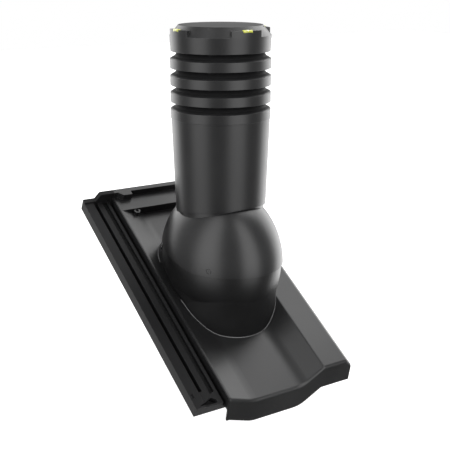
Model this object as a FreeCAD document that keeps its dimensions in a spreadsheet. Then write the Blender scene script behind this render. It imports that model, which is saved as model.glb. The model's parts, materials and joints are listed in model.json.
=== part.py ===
import FreeCAD, Part
import math
import os

import Sketcher
from FreeCAD import Placement, Rotation, Vector

# Roof tile vent: an interlocking plastic tile, a collar set into it, a barrel-shaped hood that tilts over
# the collar, a tapered tube on the hood, a stack of louvre rings and a cap with four spirit levels.
# Millimetres and degrees. The origin is on the axis of the tube, at the level of the tile's pan.
# X runs across the roof, Y up the slope seen from above, and Z is plumb.

SIZES = {
    # Roof and tilt
    "roof_pitch": 28.8,
    "pivot_rise": 61.5,
    "running_gap": 0.6,
    "seat_gap": 0.3,
    # Hood
    "hood_radius": 126.0,
    "hood_half_width": 98.5,
    "hood_wall": 2.2,
    "edge_rise": 2.0,
    "edge_knee": 52.0,
    "edge_slope": 12.0,
    "neck_top": 198.0,
    "neck_wall": 3.0,
    "neck_plate": 3.0,
    # Pivot
    "pin_radius": 5.0,
    "pin_gap": 0.05,
    "pin_head_radius": 8.0,
    "pin_head": 3.0,
    "pin_reach": 88.0,
    "ear_inner": 76.0,
    "ear_thick": 5.0,
    "ear_half_width": 14.0,
    "tab_inner": 82.0,
    "tab_thick": 5.0,
    "tab_half_width": 12.0,
    "tab_top": 111.0,
    "tab_root": 90.0,
    "tab_root_depth": 15.0,
    # Outer tube
    "rim_height": 153.0,
    "rim_tilt": 9.1,
    "rim_radius": 76.5,
    "tube_top": 308.0,
    "tube_top_radius": 82.0,
    "tube_wall": 3.0,
    # Inner pipe
    "pipe_radius": 55.0,
    "pipe_wall": 3.0,
    "pipe_low": 75.0,
    "pipe_top": 304.0,
    "pipe_flange_radius": 68.0,
    "pipe_flange": 3.0,
    # Louvre stack
    "stack_radius": 83.0,
    "band_height": 15.0,
    "ring_pitch": 27.3,
    "ring_wall": 2.5,
    "throat_radius": 70.5,
    "cone_rise": 10.5,
    "cone_mid_radius": 75.7,
    "cone_mid_rise": 4.1,
    "ring_spigot": 16.0,
    "post_circle": 67.0,
    "post_radius": 4.5,
    "post_count": 4.0,
    "peg_radius": 2.0,
    "peg_height": 5.0,
    # Cap
    "cap_foot_radius": 82.0,
    "cap_side": 25.0,
    "cap_chamfer": 16.0,
    "cap_top_radius": 69.0,
    "cap_crown": 1.2,
    "cap_wall": 3.0,
    "pocket_angle": 39.0,
    "pocket_rise": 10.5,
    "vial_length": 17.0,
    "vial_radius": 2.8,
    "vial_gap": 0.15,
    "vial_sink": 1.2,
    # Tile, in its own plane: x across, y up the slope, z off the pan
    "tile_left": 164.0,
    "tile_right": 133.0,
    "tile_front": 230.0,
    "tile_back": 258.0,
    "tile_wall": 3.0,
    "crest_left": 109.0,
    "crest_width": 5.0,
    "crest_rise": 16.0,
    "pan_left": 60.0,
    "pan_right": 35.0,
    "roll_left": 75.0,
    "roll_right": 123.0,
    "roll_rise": 25.0,
    "roll_shoulder": 15.0,
    "pan_round": 45.0,
    "roll_round": 7.0,
    "apron_lean": 16.5,
    "apron_drop": 39.0,
    "nose_round": 5.5,
    # Side interlock
    "lock_front": 221.0,
    "lock_drop": 9.0,
    "outer_rib_rise": 11.0,
    "outer_rib_width": 17.0,
    "groove_width": 8.0,
    "lock_floor": 2.0,
    "middle_rib_width": 10.0,
    "rib_rise": 8.0,
    "channel_width": 9.0,
    "channel_floor": 1.0,
    "inner_rib_width": 5.0,
    "groove_end": 192.0,
    "bar_left": 211.0,
    "bar_right": 197.0,
    "pocket_left": 157.0,
    "pocket_right": 124.0,
    "pocket_turn": 131.0,
    "pocket_back": 206.5,
    "pocket_side": 212.0,
    "slot_left": 161.5,
    "slot_width": 4.0,
    "slot_front": 202.0,
    "slot_length": 9.0,
    "slot_depth": 2.0,
    # Header
    "ledge_front": 213.0,
    "ridge_front": 249.0,
    "ridge_rise": 28.0,
    "low_ridge_rise": 14.0,
    "ridge_step": 8.0,
    "lug_left": 96.0,
    "lug_width": 22.0,
    "lug_reach": 9.0,
    "nib_width": 30.0,
    "nib_centre": -20.0,
    "nib_spread": 45.0,
    "nib_front": 234.0,
    "nib_thick": 12.0,
    "nib_drop": 20.0,
    "screw_boss_left": 75.0,
    "screw_boss_radius": 5.8,
    "screw_hole_radius": 3.0,
    "screw_boss_back": 4.0,
    # Collar
    "collar_half_width": 91.0,
    "collar_front": 140.0,
    "collar_back": 121.5,
    "collar_rise": 79.0,
    "collar_wall": 2.5,
    "collar_tuck": 0.9,
    "collar_seam": 0.15,
    "sweep_front": 15.5,
    "sweep_back": 26.5,
    # Inner shell of the collar, which the hood slides over
    "shell_gap": 0.5,
    "shell_wall": 2.5,
    "shell_front_lean": 34.6,
    "shell_knee": 16.0,
    "shell_knee_rise": 91.6,
    "shell_side": 70.6,
    "shell_side_rise": 66.2,
    "shell_back_rise": 62.5,
    "shell_foot_rise": 8.0,
    "shell_foot_lean": 13.2,
}

doc = FreeCAD.newDocument("roof_tile_vent")
sheet = doc.addObject("Spreadsheet::Sheet", "dim")
for row, (alias, number) in enumerate(SIZES.items(), start=1):
    sheet.set("A%d" % row, alias)
    sheet.set("B%d" % row, str(number))
    sheet.setAlias("B%d" % row, alias)
doc.recompute()

FULL_TURN = 360
FAR = 900.0


def value(text):
    """The number that an expression on the sheet gives."""
    return float(sheet.evalExpression(text))


def bind(feature, **expressions):
    """Binds properties of a feature to expressions on the sheet."""
    for name, text in expressions.items():
        feature.setExpression(name, text)
    return feature


def new_body(name):
    return doc.addObject("PartDesign::Body", name)


def place_sketch(body, name, plane, offset=None):
    """A sketch on one of its body's own planes."""
    sketch = body.newObject("Sketcher::SketchObject", name)
    support = [f for f in body.Origin.OriginFeatures if f.Role == plane][0]
    sketch.AttachmentSupport = [(support, "")]
    sketch.MapMode = "FlatFace"
    if offset:
        sketch.AttachmentOffset = offset
    return sketch


def pin_point(sketch, geometry, end, x, y):
    """Pins one end of a line or arc by an expression for each coordinate."""
    for kind, text in (("DistanceX", x), ("DistanceY", y)):
        index = sketch.addConstraint(Sketcher.Constraint(kind, geometry, end, value(text)))
        sketch.setExpression("Constraints[%d]" % index, text)


def arc_between(first, last, radius, side):
    """The shorter arc of a radius from one point to another, bulging to the left (1) or right (-1)."""
    chord = last - first
    half = chord.Length / 2
    reach = math.sqrt(max(radius * radius - half * half, 0))
    normal = Vector(-chord.y, chord.x, 0).normalize()
    centre = (first + last) * 0.5 - normal * reach * side
    ends = [math.atan2(p.y - centre.y, p.x - centre.x) for p in (first, last)]
    start, stop = ends if side < 0 else ends[::-1]
    return Part.ArcOfCircle(Part.Circle(centre, Vector(0, 0, 1), radius), start, stop)


def outline(body, name, plane, corners, offset=None):
    """A closed outline. A corner is (x, y), or (x, y, radius, side) where an arc leaves it."""
    sketch = place_sketch(body, name, plane, offset)
    points = [Vector(value(c[0]), value(c[1]), 0) for c in corners]
    ends = []
    for i, corner in enumerate(corners):
        first, last = points[i], points[(i + 1) % len(points)]
        if len(corner) == 2:
            sketch.addGeometry(Part.LineSegment(first, last))
            ends.append((1, 2))
            continue
        sketch.addGeometry(arc_between(first, last, value(corner[2]), corner[3]))
        ends.append((1, 2) if corner[3] < 0 else (2, 1))
    for i in range(len(corners)):
        follower = (i + 1) % len(corners)
        sketch.addConstraint(Sketcher.Constraint("Coincident", i, ends[i][1], follower, ends[follower][0]))
    for i, corner in enumerate(corners):
        pin_point(sketch, i, ends[i][0], corner[0], corner[1])
        if len(corner) > 2:
            index = sketch.addConstraint(Sketcher.Constraint("Radius", i, value(corner[2])))
            sketch.setExpression("Constraints[%d]" % index, corner[2])
    return sketch


def turn(body, name, corners):
    """Turns a closed outline in the XZ plane about the body's own Z axis."""
    sketch = outline(body, name + "_profile", "XZ_Plane", corners)
    feature = body.newObject("PartDesign::Revolution", name)
    feature.Profile = sketch
    feature.ReferenceAxis = (sketch, ["V_Axis"])
    feature.Angle = FULL_TURN
    return feature


def turned(name, corners):
    body = new_body(name)
    turn(body, name + "_turned", corners)
    return body


def pad(body, name, sketch, length, kind="PartDesign::Pad", both_ways=False, reverse=False):
    """Pads or pockets a sketch of the body by an expression."""
    feature = body.newObject(kind, name)
    feature.Profile = sketch
    feature.setExpression("Length", length)
    if both_ways:
        feature.SideType = "Symmetric"
    feature.Reversed = reverse
    doc.recompute()
    return feature


def round_edges(body, name, radius, chosen):
    """Fillets the edges of the body's last feature that the test picks."""
    base = body.Tip
    names = ["Edge%d" % (i + 1) for i, edge in enumerate(base.Shape.Edges) if chosen(edge)]
    feature = body.newObject("PartDesign::Fillet", name)
    feature.Base = (base, names)
    feature.setExpression("Radius", radius)
    doc.recompute()
    return feature


def box(name, x, y, z, length, width, height):
    """A block from its low corner and its three sizes, all expressions."""
    solid = doc.addObject("Part::Box", name)
    bind(solid, Length=length, Width=width, Height=height)
    solid.setExpression("Placement.Base.x", x)
    solid.setExpression("Placement.Base.y", y)
    solid.setExpression("Placement.Base.z", z)
    return solid


def rod(name, radius, height, x, y, z, along="Z"):
    """A cylinder whose foot is at (x, y, z), along Z or X."""
    solid = doc.addObject("Part::Cylinder", name)
    bind(solid, Radius=radius, Height=height)
    if along == "X":
        solid.Placement = Placement(Vector(), Rotation(Vector(0, 1, 0), 90))
    solid.setExpression("Placement.Base.x", x)
    solid.setExpression("Placement.Base.y", y)
    solid.setExpression("Placement.Base.z", z)
    return solid


def fuse(name, *solids):
    feature = doc.addObject("Part::MultiFuse", name)
    feature.Shapes = list(solids)
    doc.recompute()
    return feature


def cut(name, base, *tools):
    """Takes the tools away from the base, one after the other."""
    for number, tool in enumerate(tools):
        feature = doc.addObject("Part::Cut", "%s_cut%d" % (name, number))
        feature.Base = base
        feature.Tool = tool
        base = feature
    doc.recompute()
    return base


def on_slope(feature):
    """Lays a shape that was drawn flat on the roof's slope."""
    feature.Placement = Placement(Vector(), Rotation(Vector(1, 0, 0), value("dim.roof_pitch")))
    feature.setExpression("Placement.Rotation.Angle", "dim.roof_pitch")
    return feature


# The pivot, seen in the tile's own plane
PIVOT_Y = "(dim.pivot_rise * sin(dim.roof_pitch))"
PIVOT_Z = "(dim.pivot_rise * cos(dim.roof_pitch))"


def banded_barrel(name, grow, y="0", z="dim.pivot_rise", step=10):
    """The hood's form grown or shrunk, in conical bands that stay outside its ellipse."""
    body = new_body(name)
    across = "((dim.hood_half_width + %s) / cos(%d / 2))" % (grow, step)
    around = "((dim.hood_radius + %s) / cos(%d / 2))" % (grow, step)
    corners = [("0", "-" + across)]
    for angle in range(step - 90, 90, step):
        corners.append(("%s * cos(%d)" % (around, angle), "%s * sin(%d)" % (across, angle)))
    corners.append(("0", across))
    sketch = outline(body, name + "_profile", "XY_Plane", corners)
    feature = body.newObject("PartDesign::Revolution", name + "_turned")
    feature.Profile = sketch
    feature.ReferenceAxis = (sketch, ["V_Axis"])
    feature.Angle = FULL_TURN
    body.Placement = Placement(Vector(), Rotation(Vector(0, 0, 1), -90))
    body.setExpression("Placement.Base.y", y)
    body.setExpression("Placement.Base.z", z)
    return body


def smooth_barrel(name, grow, y="0", z="dim.pivot_rise"):
    """The hood's form grown or shrunk: an ellipse turned about the cross axis through the pivot."""
    solid = doc.addObject("Part::Ellipsoid", name)
    around, across = "dim.hood_radius + " + grow, "dim.hood_half_width + " + grow
    bind(solid, Radius1=around, Radius2=around, Radius3=across)
    solid.Angle1, solid.Angle2, solid.Angle3 = -90, 90, FULL_TURN
    solid.Placement = Placement(Vector(), Rotation(Vector(0, 0, 1), 90))
    solid.setExpression("Placement.Base.y", y)
    solid.setExpression("Placement.Base.z", z)
    return solid


def common(name, *solids):
    """The room that all the solids share."""
    feature = doc.addObject("Part::MultiCommon", name)
    feature.Shapes = list(solids)
    doc.recompute()
    return feature


# Hood's form, its hollow, and the rooms that its neighbours leave for it
hood_outside = smooth_barrel("hood_outside", "0")
hood_inside = banded_barrel("hood_inside", "-dim.hood_wall", step=9)
tube_room = banded_barrel("tube_room", "dim.seat_gap")

# Outer tube: a taper, cut off along the slanting rim and scooped where it sits on the hood
TUBE_TAPER = "((dim.tube_top_radius - dim.rim_radius) / (dim.tube_top - dim.rim_height))"
TUBE_LOW = "(dim.rim_height - 30)"
TUBE_LOW_RADIUS = "(dim.rim_radius - 30 * %s)" % TUBE_TAPER

tube_body = turned("tube_body", [
    (TUBE_LOW_RADIUS + " - dim.tube_wall", TUBE_LOW),
    (TUBE_LOW_RADIUS, TUBE_LOW),
    ("dim.tube_top_radius", "dim.tube_top"),
    ("dim.tube_top_radius - dim.tube_wall", "dim.tube_top"),
])
RIM_REACH = 120
rim_cut = outline(tube_body, "rim_line", "YZ_Plane", [
    (str(-RIM_REACH), "dim.rim_height + %d * tan(dim.rim_tilt)" % RIM_REACH),
    (str(RIM_REACH), "dim.rim_height - %d * tan(dim.rim_tilt)" % RIM_REACH),
    (str(RIM_REACH), "0"),
    (str(-RIM_REACH), "0"),
])
pad(tube_body, "rim_pocket", rim_cut, "4 * dim.tube_top_radius", "PartDesign::Pocket", both_ways=True)
vent_tube = cut("vent_tube", tube_body, tube_room)

# Hood: the barrel with a neck on top, hollowed, with a lower edge that is level in front and rises behind
NECK_FOOT = "dim.pivot_rise"
NECK_RADIUS = "(dim.rim_radius + (%s - dim.rim_height) * " + TUBE_TAPER + " - dim.tube_wall - dim.seat_gap)"
neck_outside = turned("neck_outside", [
    ("0", NECK_FOOT),
    (NECK_RADIUS % NECK_FOOT, NECK_FOOT),
    (NECK_RADIUS % "dim.neck_top", "dim.neck_top"),
    ("0", "dim.neck_top"),
])
neck_inside = turned("neck_inside", [
    ("0", NECK_FOOT),
    (NECK_RADIUS % NECK_FOOT + " - dim.neck_wall", NECK_FOOT),
    (NECK_RADIUS % "dim.neck_top" + " - dim.neck_wall", "dim.neck_top - dim.neck_plate"),
    ("0", "dim.neck_top - dim.neck_plate"),
])
pipe_room = rod("pipe_room", "dim.pipe_radius + dim.seat_gap", "dim.neck_top", "0", "0", NECK_FOOT)
hood_shell = cut("hood_shell", fuse("hood_block", hood_outside, neck_outside),
                 fuse("hood_hollow", hood_inside, neck_inside), pipe_room)
EDGE_REACH = 200
EDGE_LEVEL = "dim.pivot_rise + dim.edge_rise"
edge_body = new_body("edge_body")
edge_line = outline(edge_body, "hood_edge", "YZ_Plane", [
    (str(-EDGE_REACH), EDGE_LEVEL),
    ("-dim.edge_knee", EDGE_LEVEL),
    (str(EDGE_REACH), EDGE_LEVEL + " + (%d + dim.edge_knee) * tan(dim.edge_slope)" % EDGE_REACH),
    (str(EDGE_REACH), str(2 * EDGE_REACH)),
    (str(-EDGE_REACH), str(2 * EDGE_REACH)),
])
pad(edge_body, "edge_pad", edge_line, "4 * dim.hood_half_width", both_ways=True)
hood_cover = common("hood_cover", hood_shell, edge_body)

# Tabs that hang inside the hood and carry it on the pivot pins
tabs = []
for side, plate_x, root_x in (("left", "-dim.tab_inner - dim.tab_thick", "-dim.tab_root"),
                              ("right", "dim.tab_inner", "dim.tab_inner")):
    tabs.append(box("tab_plate_" + side, plate_x, "-dim.tab_half_width", "dim.pivot_rise", "dim.tab_thick",
                    "2 * dim.tab_half_width", "dim.tab_top - dim.pivot_rise"))
    tabs.append(box("tab_root_" + side, root_x, "-dim.tab_half_width", "dim.tab_top - dim.tab_root_depth",
                    "dim.tab_root - dim.tab_inner", "2 * dim.tab_half_width", "dim.tab_root_depth"))
    tabs.append(rod("tab_end_" + side, "dim.tab_half_width", "dim.tab_thick", plate_x, "0",
                    "dim.pivot_rise", along="X"))
pin_room = rod("pin_room", "dim.pin_radius + dim.pin_gap", "2 * (dim.pin_reach + 0.5)",
               "-dim.pin_reach - 0.5", "0", "dim.pivot_rise", along="X")
tilt_hood = cut("tilt_hood", fuse("hood_with_tabs", hood_cover, *tabs), pin_room)

# Inner pipe with the flange that sits on the neck
duct_pipe = turned("duct_pipe_body", [
    ("dim.pipe_radius - dim.pipe_wall", "-dim.pipe_low"),
    ("dim.pipe_radius", "-dim.pipe_low"),
    ("dim.pipe_radius", "dim.neck_top"),
    ("dim.pipe_flange_radius", "dim.neck_top"),
    ("dim.pipe_flange_radius", "dim.neck_top + dim.pipe_flange"),
    ("dim.pipe_radius", "dim.neck_top + dim.pipe_flange"),
    ("dim.pipe_radius", "dim.pipe_top"),
    ("dim.pipe_radius - dim.pipe_wall", "dim.pipe_top"),
])


def ring_foot(step):
    """Height of the lower edge of a band, counted up from the seam on the tube."""
    return "(dim.tube_top + %d * dim.ring_pitch)" % step


def louvre_corners(foot):
    """Band with a hollow cone that rises inwards from its top edge."""
    top = foot + " + dim.band_height"
    inner = "dim.stack_radius - dim.ring_wall"
    return [
        (inner, foot),
        ("dim.stack_radius", foot),
        ("dim.stack_radius", top),
        ("dim.cone_mid_radius", top + " + dim.cone_mid_rise"),
        ("dim.throat_radius", top + " + dim.cone_rise"),
        ("dim.throat_radius - dim.ring_wall", top + " + dim.cone_rise"),
        ("dim.throat_radius - dim.ring_wall", top + " + dim.cone_rise - dim.ring_wall"),
        (inner, top + " - dim.ring_wall"),
    ]


def posts(name, foot, top, pegs=True, sockets=True):
    """Posts that carry the next ring, each with a peg on top and a socket below."""
    solids, holes = [], []
    for number in range(int(value("dim.post_count"))):
        turn_text = "(%d + 0.5) * 360 / dim.post_count" % number
        x = "dim.post_circle * cos(%s)" % turn_text
        y = "dim.post_circle * sin(%s)" % turn_text
        label = "%s_%d" % (name, number)
        solids.append(rod("post_" + label, "dim.post_radius", "%s - %s" % (top, foot), x, y, foot))
        if pegs:
            solids.append(rod("peg_" + label, "dim.peg_radius", "dim.peg_height + 1", x, y, top + " - 1"))
        if sockets:
            holes.append(rod("socket_" + label, "dim.peg_radius + dim.pin_gap", "dim.peg_height + 0.5",
                             x, y, foot))
    return solids, holes


def louvre(name, step):
    """One louvre ring on its posts."""
    foot = ring_foot(step)
    ring = turned(name + "_band", louvre_corners(foot))
    solids, holes = posts(name, foot, ring_foot(step + 1))
    body = fuse(name + "_whole", ring, *solids)
    return cut(name, body, fuse(name + "_sockets", *holes))


louvre_rings = {
    "louvre_ring_lower": louvre("louvre_ring_lower", 1),
    "louvre_ring_middle": louvre("louvre_ring_middle", 2),
    "louvre_ring_upper": louvre("louvre_ring_upper", 3),
}

# Lowest band: seated on the tube, with a spigot inside it
SPIGOT_RADIUS = "(dim.tube_top_radius - dim.tube_wall - dim.seat_gap - dim.ring_spigot * %s)" % TUBE_TAPER
base_band = turned("base_band", [
    (SPIGOT_RADIUS + " - dim.ring_wall", "dim.tube_top - dim.ring_spigot"),
    (SPIGOT_RADIUS, "dim.tube_top - dim.ring_spigot"),
    ("dim.tube_top_radius - dim.tube_wall - dim.seat_gap", "dim.tube_top"),
] + louvre_corners(ring_foot(0))[1:-1] + [
    (SPIGOT_RADIUS + " - dim.ring_wall", "dim.tube_top + dim.band_height - dim.ring_wall"),
])
base_posts = posts("base_ring", "dim.tube_top", ring_foot(1), sockets=False)[0]
base_ring = fuse("base_ring_whole", base_band, *base_posts)

# Cap: side wall, chamfer and a slightly crowned top, hollow from below
CAP_FOOT = ring_foot(4)
CAP_EDGE = CAP_FOOT + " + dim.cap_side"
CAP_TOP = CAP_EDGE + " + dim.cap_chamfer"
cap_body = turned("cap_shell", [
    ("dim.cap_foot_radius - dim.cap_wall", CAP_FOOT),
    ("dim.cap_foot_radius", CAP_FOOT),
    ("dim.stack_radius", CAP_EDGE),
    ("dim.cap_top_radius", CAP_TOP),
    ("0", CAP_TOP + " + dim.cap_crown"),
    ("0", CAP_TOP + " - dim.cap_wall"),
    ("dim.cap_top_radius - dim.cap_wall / 2", CAP_TOP + " - dim.cap_wall"),
    ("dim.stack_radius - dim.cap_wall", CAP_EDGE + " - dim.cap_wall / 2"),
])
POCKET_TOP = CAP_EDGE + " + dim.pocket_rise"
VIAL_HEIGHT = POCKET_TOP + " - dim.vial_sink"
VIAL_DISTANCE = "(dim.stack_radius - dim.vial_radius)"


def pocket_wedge(name, turn_degrees):
    """A sector of the cap's side, carried up past the chamfer to a level ledge."""
    body = new_body(name)
    half = "dim.pocket_angle / 2"
    inner = "dim.cap_top_radius * 0.95"
    sector = outline(body, name + "_sector", "XY_Plane", [
        (inner, "-%s * tan(%s)" % (inner, half)),
        ("dim.stack_radius * cos(%s)" % half, "-dim.stack_radius * sin(%s)" % half, "dim.stack_radius", -1),
        ("dim.stack_radius * cos(%s)" % half, "dim.stack_radius * sin(%s)" % half),
        (inner, "%s * tan(%s)" % (inner, half)),
    ])
    pad(body, name + "_pad", sector, "dim.pocket_rise")
    body.Placement = Placement(Vector(), Rotation(Vector(0, 0, 1), turn_degrees))
    body.setExpression("Placement.Base.z", CAP_EDGE)
    return body


def vial_bed(name, turn_degrees):
    """The notch for a level: round below, open above and to the outside."""
    body = new_body(name)
    radius = "(dim.vial_radius + dim.vial_gap)"
    section = outline(body, name + "_section", "XZ_Plane", [
        (VIAL_DISTANCE + " - " + radius, VIAL_HEIGHT, radius, -1),
        (VIAL_DISTANCE, VIAL_HEIGHT + " - " + radius, radius, -1),
        (VIAL_DISTANCE + " + " + radius, VIAL_HEIGHT),
        (VIAL_DISTANCE + " + 4 * dim.vial_radius", VIAL_HEIGHT),
        (VIAL_DISTANCE + " + 4 * dim.vial_radius", VIAL_HEIGHT + " + 4 * dim.vial_radius"),
        (VIAL_DISTANCE + " - " + radius, VIAL_HEIGHT + " + 4 * dim.vial_radius"),
    ])
    pad(body, name + "_pad", section, "dim.vial_length + 2 * dim.vial_gap", both_ways=True)
    body.Placement = Placement(Vector(), Rotation(Vector(0, 0, 1), turn_degrees))
    return body


def vial_rod(name, turn_degrees):
    """A level's tube, lying along the outer edge of its ledge."""
    body = new_body(name)
    sketch = place_sketch(body, name + "_section", "XZ_Plane")
    centre = Vector(value(VIAL_DISTANCE), value(VIAL_HEIGHT), 0)
    circle = sketch.addGeometry(Part.Circle(centre, Vector(0, 0, 1), value("dim.vial_radius")))
    pin_point(sketch, circle, 3, VIAL_DISTANCE, VIAL_HEIGHT)
    index = sketch.addConstraint(Sketcher.Constraint("Radius", circle, value("dim.vial_radius")))
    sketch.setExpression("Constraints[%d]" % index, "dim.vial_radius")
    pad(body, name + "_pad", sketch, "dim.vial_length", both_ways=True)
    body.Placement = Placement(Vector(), Rotation(Vector(0, 0, 1), turn_degrees))
    return body


SIDES = {"right": 0, "back": 90, "left": 180, "front": 270}
wedges = [pocket_wedge("pocket_" + side, degrees) for side, degrees in SIDES.items()]
vial_rooms = [vial_bed("vial_bed_" + side, degrees) for side, degrees in SIDES.items()]
vials = {"level_vial_" + side: vial_rod("vial_" + side, degrees) for side, degrees in SIDES.items()}
cap_posts, cap_holes = posts("vent_cap", CAP_FOOT, CAP_TOP + " - dim.cap_wall / 2", pegs=False)
vent_cap = cut("vent_cap", fuse("cap_whole", cap_body, *wedges, *cap_posts),
               fuse("cap_rooms", *vial_rooms, *cap_holes))

# Tile, drawn flat: the side interlock and the pan with its roll are two profiles along the slope
lock_body = new_body("lock_body")
MIDDLE_RIB = "(-dim.tile_left + dim.outer_rib_width + dim.groove_width)"
INNER_RIB = "(%s + dim.middle_rib_width + dim.channel_width)" % MIDDLE_RIB
CREST = "-dim.crest_left"
UNDERSIDE = "-dim.lock_floor - dim.tile_wall"
GROOVE = "(-dim.tile_left + dim.outer_rib_width)"
lock_profile = outline(lock_body, "lock_profile", "XZ_Plane", [
    ("-dim.tile_left", "-dim.lock_drop"),
    ("-dim.tile_left", "dim.outer_rib_rise"),
    (GROOVE, "dim.outer_rib_rise"),
    (GROOVE, "-dim.lock_floor"),
    (MIDDLE_RIB, "-dim.lock_floor"),
    (MIDDLE_RIB, "dim.rib_rise"),
    (MIDDLE_RIB + " + dim.middle_rib_width", "dim.rib_rise"),
    (MIDDLE_RIB + " + dim.middle_rib_width", "dim.channel_floor"),
    (INNER_RIB, "dim.channel_floor"),
    (INNER_RIB, "dim.rib_rise"),
    (INNER_RIB + " + dim.inner_rib_width", "dim.rib_rise"),
    (INNER_RIB + " + dim.inner_rib_width", "-dim.lock_floor"),
    (CREST + " + dim.tile_wall", "-dim.lock_floor"),
    (CREST + " + dim.tile_wall", UNDERSIDE),
    (GROOVE + " - dim.tile_wall", UNDERSIDE),
    (GROOVE + " - dim.tile_wall", "dim.outer_rib_rise - dim.tile_wall"),
    ("-dim.tile_left + dim.tile_wall", "dim.outer_rib_rise - dim.tile_wall"),
    ("-dim.tile_left + dim.tile_wall", "-dim.lock_drop"),
])
pad(lock_body, "lock_pad", lock_profile, "dim.lock_front + dim.tile_back")
lock_body.setExpression("Placement.Base.y", "dim.tile_back")

end_wall = box("lock_end_wall_block", "-dim.tile_left", "-dim.lock_front", "-dim.lock_drop",
               "dim.tile_left - dim.crest_left + dim.tile_wall", "dim.tile_wall",
               "dim.lock_drop - dim.lock_floor")
rib_end = box("outer_rib_end", "-dim.tile_left", "-dim.lock_front", "-dim.lock_drop",
              "dim.outer_rib_width", "dim.tile_wall", "dim.lock_drop + dim.outer_rib_rise")

# Front end of the interlock: the ribs run into a block behind a slanting bar, with a corner pocket in it
end_block = new_body("end_block")
block_outline = outline(end_block, "block_outline", "XY_Plane", [
    ("-dim.tile_left + 1", "-dim.lock_front"),
    (INNER_RIB + " + 1", "-dim.lock_front"),
    (INNER_RIB + " + 1", "-dim.bar_right"),
    (GROOVE + " + dim.groove_width", "-dim.bar_right - (dim.bar_left - dim.bar_right) / 2"),
    (GROOVE + " + dim.groove_width", "-dim.groove_end"),
    (GROOVE + " - 1", "-dim.groove_end"),
    (GROOVE + " - 1", "-dim.bar_left"),
    ("-dim.tile_left + 1", "-dim.bar_left"),
])
block_outline.setExpression("AttachmentOffset.Base.z", UNDERSIDE)
pad(end_block, "end_block_pad", block_outline, "dim.rib_rise - (%s)" % UNDERSIDE)
end_pocket = new_body("end_pocket")
pocket_outline = outline(end_pocket, "pocket_outline", "XY_Plane", [
    ("-dim.pocket_left", "-dim.lock_front + dim.tile_wall"),
    ("-dim.pocket_right", "-dim.lock_front + dim.tile_wall"),
    ("-dim.pocket_right", "-dim.pocket_side"),
    ("-dim.pocket_turn", "-dim.pocket_back"),
])
pocket_outline.setExpression("AttachmentOffset.Base.z", "-dim.lock_floor")
pad(end_pocket, "end_pocket_pad", pocket_outline, "3 * dim.rib_rise")
rib_slot = box("rib_slot", "-dim.slot_left", "-dim.slot_front", "dim.outer_rib_rise - dim.slot_depth",
               "dim.slot_width", "dim.slot_length", "2 * dim.slot_depth")

# The pan, the roll and the front apron are one sheet: an outer form less an inner one
PAN_TOP = [
    (CREST, "dim.crest_rise"),
    (CREST + " + dim.crest_width", "dim.crest_rise"),
    ("-dim.pan_left", "0"),
    ("dim.pan_right", "0"),
    ("dim.roll_left", "dim.roll_rise"),
    ("dim.roll_right", "dim.roll_rise"),
    ("dim.tile_right", "dim.roll_shoulder"),
]
PAN_UNDER = [
    (CREST + " + dim.tile_wall", "dim.crest_rise - dim.tile_wall"),
    (CREST + " + dim.crest_width", "dim.crest_rise - dim.tile_wall"),
    ("-dim.pan_left", "-dim.tile_wall"),
    ("dim.pan_right", "-dim.tile_wall"),
    ("dim.roll_left", "dim.roll_rise - dim.tile_wall"),
    ("dim.roll_right - dim.tile_wall / 2", "dim.roll_rise - dim.tile_wall"),
    ("dim.tile_right - dim.tile_wall", "dim.roll_shoulder - dim.tile_wall / 2"),
]
APRON_FOOT = [(x, z + " - dim.apron_drop") for x, z in PAN_TOP[:-1]]
APRON_FOOT.append(("dim.tile_right + 20", "dim.roll_rise - dim.apron_drop"))
APRON_FOOT[0] = (CREST + " - 20", APRON_FOOT[0][1])
DEEP = "-3 * dim.apron_drop"
ROUNDED_WIDE, ROUNDED_TIGHT = (2, 3), (1, 4, 5, 6)


def long_edges(*places):
    """Picks the edges along the slope that pass through the given points of the profile."""
    spots = [(value(x), value(z)) for x, z in places]

    def chosen(edge):
        first, last = edge.Vertexes[0].Point, edge.Vertexes[-1].Point
        along = abs(first.x - last.x) < 0.01 and abs(first.z - last.z) < 0.01
        return along and any(abs(first.x - x) < 0.01 and abs(first.z - z) < 0.01 for x, z in spots)
    return chosen


def slope_form(name, top, wide, tight):
    """A block along the slope under an outline, with its bends rounded."""
    body = new_body(name)
    corners = top + [(top[-1][0], DEEP), (top[0][0], DEEP)]
    sketch = outline(body, name + "_outline", "XZ_Plane", corners)
    sketch.setExpression("AttachmentOffset.Base.z", "-dim.tile_back")
    pad(body, name + "_pad", sketch, "dim.tile_front + dim.tile_back + 2 * dim.apron_drop")
    round_edges(body, name + "_wide", wide, long_edges(*[top[i] for i in ROUNDED_WIDE]))
    tight_corners = [top[i] for i in ROUNDED_TIGHT if i < len(top) - 1]
    round_edges(body, name + "_tight", tight, long_edges(*tight_corners))
    return body


def front_cut(body, name, depth):
    """Cuts a form off along the leaning front, some depth behind the apron's face."""
    reach = str(FAR)
    sketch = outline(body, name + "_line", "XZ_Plane", [
        ("-" + reach, "-" + reach), (reach, "-" + reach), (reach, reach), ("-" + reach, reach)])
    lean = Rotation(Vector(-1, 0, 0), value("dim.apron_lean"))
    sketch.AttachmentOffset = Placement(Vector(0, 0, 1), lean)
    sketch.setExpression("AttachmentOffset.Rotation.Angle", "dim.apron_lean")
    sketch.setExpression("AttachmentOffset.Base.z", "dim.tile_front - %s / cos(dim.apron_lean)" % depth)
    return pad(body, name, sketch, reach, "PartDesign::Pocket", reverse=True)


sheet_outside = slope_form("sheet_outside", PAN_TOP, "dim.pan_round", "dim.roll_round")
front_cut(sheet_outside, "apron_face", "0")
lean = math.tan(math.radians(value("dim.apron_lean")))


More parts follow.
